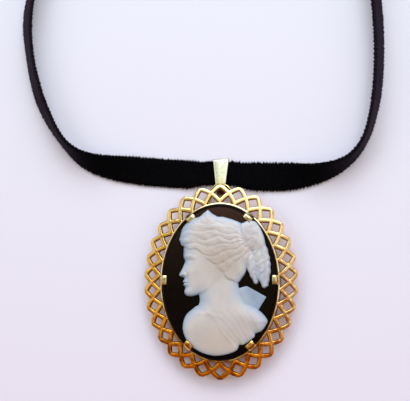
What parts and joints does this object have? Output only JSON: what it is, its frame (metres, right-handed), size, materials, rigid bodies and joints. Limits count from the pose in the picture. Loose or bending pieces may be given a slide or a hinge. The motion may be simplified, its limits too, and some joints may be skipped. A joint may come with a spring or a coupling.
{
  "type": "cameo pendant on a velvet ribbon choker",
  "caption": "Oval cameo of a classical bust in profile on black stone, in a pierced gold border, hung by a tapered bail from a black velvet ribbon choker that lies in a loop.",
  "frame": {"origin": "middle of the oval stone, on the plane that the back of the setting rests on", "axes": "+X to the right as seen from the front, +Y up towards the bail and the ribbon, +Z out of the face"},
  "size_m": [0.0961, 0.1582, 0.0087],
  "materials": {
    "gold": "polished gold",
    "black_stone": "polished black onyx",
    "white_stone": "smooth milky carved layer",
    "pale_gold": "polished pale gold",
    "velvet": "short black pile",
    "clasp_gold": "polished gold"
  },
  "bodies": {
    "root": {"setting": "gold", "onyx_base": "black_stone", "cameo_relief": "white_stone", "bail": "pale_gold", "ribbon": "velvet", "clasp": "clasp_gold"}
  },
  "joints": []
}
